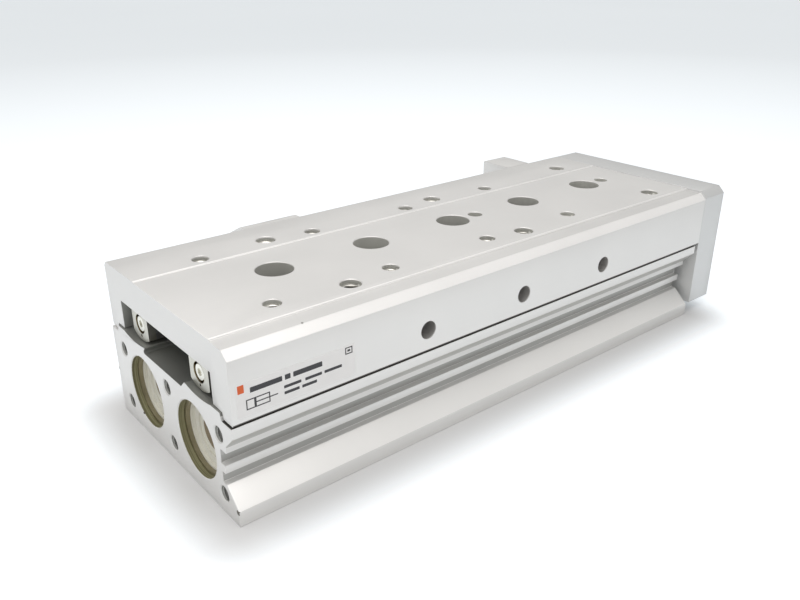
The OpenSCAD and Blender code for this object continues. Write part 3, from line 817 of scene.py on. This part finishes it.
@dataclass
class Studio:
    """Camera, soft lamps and a plain pale floor.

    The camera is given by its place and the directions right, down and ahead. Each lamp is given as name,
    place, edge length, watts and aim. The floor glows for the rays that show it: the glow rises within
    floor_reach of the part's footprint, which paints a shadow around the part, and falls off from
    floor_near to floor_far, which paints the floor dimmer far away.
    """

    eye: Point = (-0.170049, -0.184077, 0.133087)
    right: Point = (0.7696768, -0.6384329, 0.0010285)
    down: Point = (-0.2586763, -0.3133248, -0.9137364)
    ahead: Point = (0.5836816, 0.7030156, -0.4063063)
    lens: float = 35.3835
    surround: float = 0.60
    warmth: Colour = (1.0, 0.965, 0.945)
    floor_lift: float = 0.60
    floor_reach: float = 0.024
    floor_near: float = 0.15
    floor_far: float = 0.9
    floor_fall: float = 0.66
    floor_glow: Colour = (0.86, 0.94, 1.0)
    floor_tones: tuple[Colour, Colour] = ((0.71, 0.715, 0.72), (0.73, 0.735, 0.74))
    floor_size: float = 16.0
    floor_drop: float = 0.00005
    footprint: tuple[float, float] = (0.10, 0.037)
    surround_tone: Colour = (0.965, 0.96, 0.945)
    lamps: tuple[tuple[str, Point, float, float, Point], ...] = (
        ("key", (-0.07, 0.0, 0.56), 0.60, 1.36, (0.0, 0.0, 0.03)),
        ("near", (-0.25, -0.42, 0.34), 0.30, 0.08, (0.0, 0.0, 0.02)),
        ("close", (-0.17, -0.16, 0.30), 0.30, 0.20, (-0.08, 0.0, 0.03)),
    )

    def camera(self) -> None:
        """Places the camera."""
        data = bpy.data.cameras.new("camera")
        data.lens = self.lens
        data.sensor_width = 36.0
        data.clip_start = 0.01
        data.clip_end = 50.0
        camera = bpy.data.objects.new("camera", data)
        bpy.context.scene.collection.objects.link(camera)
        rows = Matrix(
            (self.right, tuple(-v for v in self.down), tuple(-v for v in self.ahead))
        ).transposed()
        camera.matrix_world = Matrix.Translation(self.eye) @ rows.to_4x4()
        bpy.context.scene.camera = camera

    def lamp(self, name: str, at: Point, size: float, power: float, aim: Point) -> None:
        """Hangs one square area lamp.

        Args:
            name: Name of the lamp.
            at: Its place in metres.
            size: Edge length.
            power: Power in watts.
            aim: Point it faces.
        """
        data = bpy.data.lights.new(name, "AREA")
        data.size = size
        data.energy = power
        data.color = self.warmth
        lamp = bpy.data.objects.new(name, data)
        bpy.context.scene.collection.objects.link(lamp)
        lamp.location = at
        lamp.rotation_euler = (Vector(aim) - Vector(at)).to_track_quat("-Z", "Y").to_euler()

    def world(self) -> None:
        """Sets an even pale surround."""
        world = bpy.data.worlds.new("surround")
        bpy.context.scene.world = world
        world.use_nodes = True
        back = world.node_tree.nodes["Background"]
        back.inputs["Color"].default_value = (*self.surround_tone, 1.0)
        back.inputs["Strength"].default_value = self.surround

    def paper(self) -> bpy.types.Material:
        """Makes the floor's pale paper, which keeps the part's shadow and adds a painted shadow around its
        footprint.

        Returns:
            The finished material.
        """
        g = Graph("floor_paper")
        g.set(Roughness=0.9, Specular_IOR_Level=0.05)
        g.shader.inputs["Emission Color"].default_value = (*self.floor_glow, 1.0)
        path = g.nodes.new("ShaderNodeLightPath")
        seen = path.outputs["Is Camera Ray"]
        for ray in ("Is Glossy Ray", "Is Transmission Ray"):
            seen = g.math("MAXIMUM", seen, path.outputs[ray])
        axes = g.axes()
        gaps = [
            g.math("MAXIMUM", g.math("SUBTRACT", g.math("ABSOLUTE", axes[axis]), reach), 0.0)
            for axis, reach in zip("XY", self.footprint)
        ]
        away = g.length(*gaps)
        # Painted shadow: the glow is left out near the part's footprint, and it fades far away.
        rise = g.remap(away, (0.0, self.floor_reach), (0.0, self.floor_lift), "SMOOTHSTEP")
        fall = g.remap(away, (self.floor_near, self.floor_far), (1.0, self.floor_fall))
        glow = g.math("MULTIPLY", seen, g.math("MULTIPLY", rise, fall))
        g.links.new(glow, g.shader.inputs["Emission Strength"])
        low, high = self.floor_tones
        g.colour(g.ramp(g.noise(1.5), ((0.3, low), (0.7, high))))
        return g.material

    def floor(self) -> None:
        """Lays the floor just under the part."""
        Bench.clear()
        bpy.ops.mesh.primitive_plane_add(size=self.floor_size, location=(0, 0, -self.floor_drop))
        floor = bpy.context.object
        floor.name = "floor"
        Bench.paint(floor, self.paper())

    def build(self) -> None:
        """Builds the whole studio."""
        self.camera()
        self.world()
        self.floor()
        for lamp in self.lamps:
            self.lamp(*lamp)
        bpy.context.scene.view_settings.view_transform = "Standard"


@dataclass
class Label:
    """White film with a generic print: a square, bars, a cylinder symbol and a small frame.

    Sizes are in millimetres. A mark is low x, low z, high x and high z, from the film's low rear corner.
    """

    film_t: float = 0.08
    ink_t: float = 0.02
    corner: float = 0.35
    bar_corner: float = 0.12
    square_corner: float = 0.08
    square: Rect = (0.4, 6.6, 2.1, 8.8)
    bars: tuple[Rect, ...] = (
        (3.7, 6.0, 12.6, 7.4),
        (13.4, 6.0, 15.0, 7.4),
        (15.8, 6.0, 24.4, 7.4),
        (13.0, 3.7, 18.0, 4.5),
        (19.2, 3.7, 24.2, 4.5),
        (25.0, 3.7, 30.4, 4.5),
        (13.0, 2.0, 17.4, 2.8),
        (18.2, 2.0, 22.6, 2.8),
    )
    cylinder: tuple[Rect, ...] = (
        (2.4, 1.6, 9.0, 1.9),
        (2.4, 4.1, 9.0, 4.4),
        (2.4, 1.9, 2.7, 4.1),
        (8.7, 1.9, 9.0, 4.1),
        (4.6, 1.9, 5.2, 4.1),
        (5.2, 2.85, 11.2, 3.15),
    )
    frame: tuple[Rect, ...] = (
        (31.6, 6.7, 33.9, 7.0),
        (31.6, 8.4, 33.9, 8.7),
        (31.6, 7.0, 31.9, 8.4),
        (33.6, 7.0, 33.9, 8.4),
        (32.3, 7.4, 33.2, 8.0),
    )

    def sheet(self, name: str, box: Rect, y: float, thick: float, corner: float) -> bpy.types.Object:
        """Models one thin sheet with rounded corners on the near side.

        Args:
            name: Name of the piece.
            box: Low x, low z, high x, high z in millimetres of the frame.
            y: Inner face, in millimetres.
            thick: Thickness outwards, in millimetres.
            corner: Corner radius in millimetres.

        Returns:
            The sheet.
        """
        x0, z0, x1, z1 = box
        Bench.clear()
        bpy.ops.mesh.primitive_plane_add(size=1.0, location=(0, 0, 0))
        piece = bpy.context.object
        piece.name = name
        piece.data.transform(Matrix.Diagonal(((x1 - x0) * MM, (z1 - z0) * MM, 1, 1)))

        def act(_: bmesh.types.BMesh) -> None:
            """Rounds the corners and gives the sheet its thickness."""
            bpy.ops.mesh.select_all(action="SELECT")
            if corner:
                bpy.ops.mesh.bevel(offset=corner * MM, segments=4, affect="VERTICES")
            bpy.ops.mesh.select_all(action="SELECT")
            bpy.ops.mesh.extrude_region_move(TRANSFORM_OT_translate={"value": (0, 0, thick * MM)})

        Bench.edit(piece, act)
        Bench.settle(
            piece, ((x0 + x1) / 2 * MM, y * MM, (z0 + z1) / 2 * MM), (math.pi / 2, 0, 0)
        )
        Bench.outwards(piece)
        return piece

    def build(
        self, film: bpy.types.Material, ink: bpy.types.Material, orange: bpy.types.Material
    ) -> None:
        """Builds the film and its print.

        Args:
            film: White film.
            ink: Dark ink.
            orange: Orange ink.
        """
        low, high = (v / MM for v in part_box("label"))
        x0, z0, y0 = low.x, low.z, high.y
        film_sheet = self.sheet("label_film", (x0, z0, high.x, high.z), y0, self.film_t, self.corner)
        Bench.paint(film_sheet, film)
        stand_in(film_sheet, "label")
        top = y0 - self.film_t

        def mark(name: str, box: Rect, corner: float = 0.0) -> bpy.types.Object:
            """Prints one mark on the film, which is given from the film's corner."""
            a, b, c, d = box
            return self.sheet(name, (x0 + a, z0 + b, x0 + c, z0 + d), top, self.ink_t, corner)

        marks = [mark(f"bar_{i}", box, self.bar_corner) for i, box in enumerate(self.bars)]
        marks += [mark(f"line_{i}", box) for i, box in enumerate(self.cylinder + self.frame)]
        print_sheet = Bench.join(marks, "label_print")
        Bench.paint(print_sheet, ink)
        square = mark("label_square", self.square, self.square_corner)
        Bench.paint(square, orange)
        for piece in (print_sheet, square):
            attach(piece, "table")
        LOG.info("label dressed")


@dataclass
class Threads:
    """Wire inserts of the table and the threads of the open tapped holes, with sizes in millimetres."""

    ridge: float = 0.26
    pitch: float = 0.8
    radius: float = 2.12
    inset: float = 0.4
    rear_depth: float = 9.0
    front_depth: float = 8.0
    rear_ys: tuple[float, ...] = (-29.6, 0.0, 29.6)
    rear_zs: tuple[float, ...] = (6.0, 24.0)
    front_ys: tuple[float, ...] = (-26.0, 26.0)
    front_zs: tuple[float, ...] = (24.0, 44.0)

    def coils(self, node: str, wire: float, pitch: float, finish: bpy.types.Material) -> None:
        """Winds a coil in place of each plain sleeve of a node.

        Args:
            node: CAD node of the sleeves.
            wire: Half height of the wire's diamond section.
            pitch: Rise of one turn.
            finish: Material of the wire.
        """
        source = Bench.copy(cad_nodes()[node], f"{node}_shells")
        Bench.outwards(source)
        shells = Bench.parts(source)
        low, high = shells[0]
        helix = Helix((high.x - low.x) / 2 - wire * MM, pitch * MM, high.z - low.z, wire * MM)
        middles = [(low + high) / 2 for low, high in shells]
        places = [(at.x, at.y, low.z) for at, (low, _) in zip(middles, shells)]
        piece = thread_set(f"{node}_coils", helix, places, Axis.UP, finish)
        stand_in(piece, node)
        LOG.info("%s: %d coils", node, len(places))

    def ridges(self, depth: float) -> Helix:
        """Thread ridges of one tapped hole.

        Args:
            depth: Length of the thread.

        Returns:
            The coil to repeat.
        """
        return Helix(self.radius * MM, self.pitch * MM, depth * MM, self.ridge * MM)

    def rear(self, finish: bpy.types.Material) -> None:
        """Winds thread ridges into the tapped holes of the body's rear face.

        Args:
            finish: Material of the ridges.
        """
        low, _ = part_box("housing")
        start = low.x + self.inset * MM
        places = [(start, y * MM, z * MM) for y in self.rear_ys for z in self.rear_zs]
        piece = thread_set("rear_threads", self.ridges(self.rear_depth), places, Axis.FRONT, finish)
        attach(piece, "body")
        LOG.info("rear threads: %d holes", len(places))

    def front(self, finish: bpy.types.Material) -> None:
        """Winds thread ridges into the tapped holes of the end plate's front face.

        Args:
            finish: Material of the ridges.
        """
        _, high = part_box("end_plate")
        start = high.x - self.inset * MM
        places = [(start, y * MM, z * MM) for y in self.front_ys for z in self.front_zs]
        piece = thread_set("front_threads", self.ridges(self.front_depth), places, Axis.REAR, finish)
        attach(piece, "table")
        LOG.info("front threads: %d holes", len(places))


@dataclass(frozen=True)
class NearSide:
    """Strips of the sensor side with painted shade and painted highlight, as boxes in metres."""

    # Painted shade in the sensor grooves: upper halves here, lower halves below, which are darker.
    groove_tops: tuple[Box, ...] = (
        ((-0.0999, -0.0334, 0.0178), (0.0999, -0.0290, 0.0201)),
        ((-0.0999, -0.0318, 0.0117), (0.0999, -0.0290, 0.0133)),
    )
    groove_feet: tuple[Box, ...] = (
        ((-0.0999, -0.0334, 0.01585), (0.0999, -0.0290, 0.0178)),
        ((-0.0999, -0.0318, 0.01005), (0.0999, -0.0290, 0.0117)),
    )
    # Painted shade under the overhang of the ramp.
    overhang: Box = ((-0.0999, -0.0368, 0.0217), (0.0999, -0.0329, 0.0258))
    # Painted light on the sloped top of the foot.
    foot: Box = ((-0.0999, -0.0370, 0.0046), (0.0999, -0.0315, 0.0098))
    body_seam: Box = ((-0.0999, -0.0369, 0.02895), (0.0999, -0.0320, 0.0291))
    table_seam: Box = ((-0.0994, -0.0371, 0.0293), (0.1021, -0.0320, 0.02980))
    # Painted highlight on the near chamfer and on the plateau steps of the top.
    crest_highlights: tuple[Box, ...] = (
        ((-0.0994, -0.0371, 0.0469), (0.1021, -0.03445, 0.04926)),
        ((-0.0994, -0.0290, 0.04925), (0.1021, -0.0282, 0.0501)),
        ((-0.0994, 0.0156, 0.04965), (0.1021, 0.0162, 0.0501)),
    )


@dataclass(frozen=True)
class Recesses:
    """Hollows with painted shade, as boxes and as wells, and wear marks, as spots: boxes and spots in
    metres, and wells as radius, y and z in metres.
    """

    body_channel: Box = ((-0.09995, -0.0318, 0.0284), (0.09995, 0.0318, 0.0312))
    table_channel: Box = ((-0.09945, -0.02762, 0.0300), (0.09995, 0.02762, 0.04045))
    # Painted shade in the holes of the table's top, and below in the holes of its side.
    roof_holes: Box = ((-0.0992, -0.0283, 0.0405), (0.1020, 0.0350, 0.0494))
    wall_holes: Box = ((-0.0992, -0.0366, 0.0312), (0.1020, -0.0277, 0.0404))
    insert_depths: Box = ((-1.0, -1.0, 0.0), (1.0, 1.0, 0.0480))
    bore: Point = (0.01102, 0.01575, 0.0153)
    cap_hollow: Point = (0.0053, 0.01575, 0.0153)
    rail_end_hole: Point = (0.00295, 0.0182, 0.0359)
    # Painted shade in the tapped holes of the rear face.
    tapped: tuple[Point, ...] = tuple((0.0022, y, z) for y in (0.0, 0.0296) for z in (0.006, 0.024))
    body_marks: tuple[Spot, ...] = (
        ((-0.100, 0.0210, 0.0059), 0.0005),
        ((-0.100, 0.0368, 0.0146), 0.0005),
        ((-0.100, -0.0363, 0.0040), 0.0007),
    )
    table_marks: tuple[Spot, ...] = (
        ((-0.052, 0.0245, 0.0500), 0.0005),
        ((-0.0770, -0.0342, 0.0492), 0.0004),
    )


class SlideTable:
    """The whole part: finishes for every node and the pieces that are added to them."""

    # Painted shade in the channel between body and table, on the body's floor and the table's inner faces.
    channel_shade_tone: Colour = (0.33, 0.337, 0.315)
    # Painted shade in the seam between body and table, which also darkens the nearby edge bevels.
    seam_shade_tone: Colour = (0.10, 0.095, 0.085)

    def __init__(self) -> None:
        """Makes the finishes and says which nodes have them."""
        self.anodise()
        recesses = Recesses()
        # Painted shade in the cap's central hollow.
        cap_shade = Shade((0.33, 0.27, 0.18), wells=(recesses.cap_hollow,))
        # Painted shade on the counterbore walls of the rail end plates.
        sunk_shade = Shade((0.24, 0.19, 0.11), wells=(recesses.rail_end_hole,))
        # Painted shade on the insert turns below the top ones.
        deep_shade = Shade((0.16, 0.155, 0.14), boxes=(recesses.insert_depths,))
        finishes = {
            "turned_aluminium": TurnedMetal((0.70, 0.70, 0.71)),
            "ground_steel": TurnedMetal((0.55, 0.55, 0.56), rough_low=0.25, rough_high=0.4),
            "bright_steel": TurnedMetal((0.72, 0.72, 0.73), rough_low=0.12, rough_high=0.2),
            "screw_steel": TurnedMetal((0.42, 0.42, 0.43), rough_low=0.3, rough_high=0.5),
            "zinc_plate": TurnedMetal((0.66, 0.67, 0.69), rough_low=0.25, rough_high=0.45),
            "phosphated_ring": TurnedMetal((0.42, 0.38, 0.27), rough_low=0.3, rough_high=0.5),
            "nickel_plate": TurnedMetal((0.60, 0.59, 0.53), rough_low=0.3, rough_high=0.45, shades=(sunk_shade,)),
            "pale_screw": TurnedMetal((0.80, 0.79, 0.72), rough_low=0.2, rough_high=0.4),
            "zinc_thread": TurnedMetal((0.66, 0.67, 0.69), rough_low=0.25, rough_high=0.4, pitch=1.25 * MM),
            "insert_wire": TurnedMetal((0.86, 0.85, 0.80), rough_low=0.28, rough_high=0.4, shades=(deep_shade,)),
            "turned_brass": TurnedMetal((0.72, 0.58, 0.30)),
            "ivory_resin": Moulded((0.80, 0.79, 0.71), shade=0.985, relief=0.000002, shades=(cap_shade,)),
            "black_rubber": Moulded((0.025, 0.025, 0.025)),
            "urethane": Moulded((0.24, 0.15, 0.07)),
            "cage_resin": Moulded((0.40, 0.29, 0.15)),
            "bonded_magnet": Moulded((0.09, 0.09, 0.09)),
            "label_film": Moulded((0.90, 0.90, 0.90), shade=0.97, rough_low=0.3, rough_high=0.4),
            "dark_ink": Moulded((0.035, 0.035, 0.04), rough_low=0.35, rough_high=0.5),
            "orange_ink": Moulded((0.80, 0.14, 0.03), shade=0.9, rough_low=0.35, rough_high=0.5),
        }
        self.finishes = {name: finish.build(name) for name, finish in finishes.items()}
        self.node_finish = {
            "turned_aluminium": ("rod_glands", "pistons"),
            "ground_steel": ("guide_block", "near_rail", "far_rail"),
            "bright_steel": ("piston_rods", "near_rollers", "far_rollers"),
            "screw_steel": (
                "guide_block_screws",
                "block_stop_screws",
                "adjuster_holder_screws",
                "end_plate_screws",
                "rail_screws",
                "preload_screws",
                "rod_bolts",
                "stopper_screws",
            ),
            "zinc_plate": ("lock_nut", "piston_nuts"),
            "zinc_thread": ("adjuster_bolt",),
            "nickel_plate": ("rail_end_plates",),
            "pale_screw": ("rail_end_screws",),
            "phosphated_ring": ("cap_retaining_rings", "gland_retaining_rings"),
            "insert_wire": ("m5_inserts", "m4_inserts"),
            "turned_brass": ("rod_bushings",),
            "ivory_resin": ("head_caps",),
            "black_rubber": (
                "cap_o_rings",
                "gland_o_rings",
                "rod_seals",
                "piston_seals",
                "retraction_bumpers",
                "adjuster_bumper",
            ),
            "urethane": ("rear_bumpers", "front_bumpers"),
            "cage_resin": ("near_cage", "far_cage", "wear_rings"),
            "bonded_magnet": ("piston_magnets",),
            "label_film": ("label",),
        }

    def anodise(self) -> None:
        """Makes the clear anodised finishes of the machined blocks, with their regions of painted shade and
        painted highlight and their wear marks.
        """
        near = NearSide()
        recesses = Recesses()
        body_shades = (
            # Painted shade on the body's channel floor under the table.
            Shade(self.channel_shade_tone, boxes=(recesses.body_channel,)),
            # Painted shade in the sensor grooves, darker on their lower halves.
            Shade((0.52, 0.52, 0.505), boxes=near.groove_tops, mottle=0.94),
            Shade((0.44, 0.44, 0.425), boxes=near.groove_feet, mottle=0.94),
            # Painted shade under the overhang of the ramp.
            Shade((0.56, 0.56, 0.54), boxes=(near.overhang,), mottle=0.92),
            # Painted light: the sloped top of the foot is whitened.
            Shade((0.99, 0.985, 0.97), boxes=(near.foot,), mottle=0.96),
            # Painted shade in the seam below the table, on the body's edge.
            Shade(self.seam_shade_tone, boxes=(near.body_seam,)),
            # Painted shade in the tapped holes of the rear face.
            Shade((0.40, 0.405, 0.38), wells=recesses.tapped),
            Shade((0.16, 0.15, 0.13), spots=recesses.body_marks),
        )
        table_shades = (
            # Painted shade on the table's inner channel faces.
            Shade(self.channel_shade_tone, boxes=(recesses.table_channel,)),
            # Painted shade in the holes of the table: lighter in the top's holes, darker in the side's
            # holes.
            Shade((0.70, 0.70, 0.66), boxes=(recesses.roof_holes,)),
            Shade((0.50, 0.49, 0.475), boxes=(recesses.wall_holes,)),
            # Painted highlight on the near chamfer and the plateau steps of the top.
            Shade((0.98, 0.975, 0.965), boxes=near.crest_highlights, mottle=0.97),
            # Painted shade in the seam, on the table's lip and its edge bevel.
            Shade(self.seam_shade_tone, boxes=(near.table_seam,)),
            Shade((0.45, 0.44, 0.42), spots=recesses.table_marks),
        )
        # The body's bore gets painted shade on its wall.
        body = SatinAluminium(bore=recesses.bore, shades=body_shades)
        self.body_metal = body.build("anodised_body")
        self.table_metal = SatinAluminium(lines=0.12, shades=table_shades).build("anodised_table")
        self.plate_metal = SatinAluminium(lines=0.05).build("anodised_plate")
        # Painted shade: the end plate gets a darker copy of the anodised finish, for light that falls off
        # towards the front.
        self.end_metal = SatinAluminium((0.69, 0.70, 0.70), lines=0.05).build("anodised_end_plate")

    def dress_nodes(self) -> None:
        """Gives every CAD node its finish."""
        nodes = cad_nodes()
        for finish, names in self.node_finish.items():
            for name in names:
                Bench.paint(nodes[name], self.finishes[finish])
        Bench.paint(nodes["housing"], self.body_metal)
        Bench.paint(nodes["table"], self.table_metal)
        Bench.paint(nodes["end_plate"], self.end_metal)
        for name in ("stopper", "adjuster_holder"):
            Bench.paint(nodes[name], self.plate_metal)
        for node in nodes.values():
            Bench.soften(node, 30.0)
            LOG.info("node %s dressed", node.name)

    def build(self) -> None:
        """Builds everything on the part."""
        self.dress_nodes()
        for name in ("housing", "table", "end_plate", "stopper", "adjuster_holder"):
            EdgeBreaker(name).build()
        threads = Threads()
        threads.coils("m5_inserts", 0.42, 0.8, self.finishes["insert_wire"])
        threads.coils("m4_inserts", 0.36, 0.7, self.finishes["insert_wire"])
        threads.rear(self.body_metal)
        threads.front(self.end_metal)
        inks = (self.finishes["dark_ink"], self.finishes["orange_ink"])
        Label().build(self.finishes["label_film"], *inks)


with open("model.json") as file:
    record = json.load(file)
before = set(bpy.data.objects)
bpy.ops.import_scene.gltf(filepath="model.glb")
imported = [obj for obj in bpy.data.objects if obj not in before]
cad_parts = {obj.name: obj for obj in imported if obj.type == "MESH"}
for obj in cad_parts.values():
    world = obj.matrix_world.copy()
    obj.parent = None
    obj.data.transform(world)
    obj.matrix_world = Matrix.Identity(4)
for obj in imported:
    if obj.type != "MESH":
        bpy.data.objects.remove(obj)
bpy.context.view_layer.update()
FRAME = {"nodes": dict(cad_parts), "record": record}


def main() -> None:
    """Builds the studio and the part."""
    logging.basicConfig(level=logging.INFO, format="%(name)s: %(message)s")
    Studio().build()
    SlideTable().build()


if __name__ == "__main__":
    main()
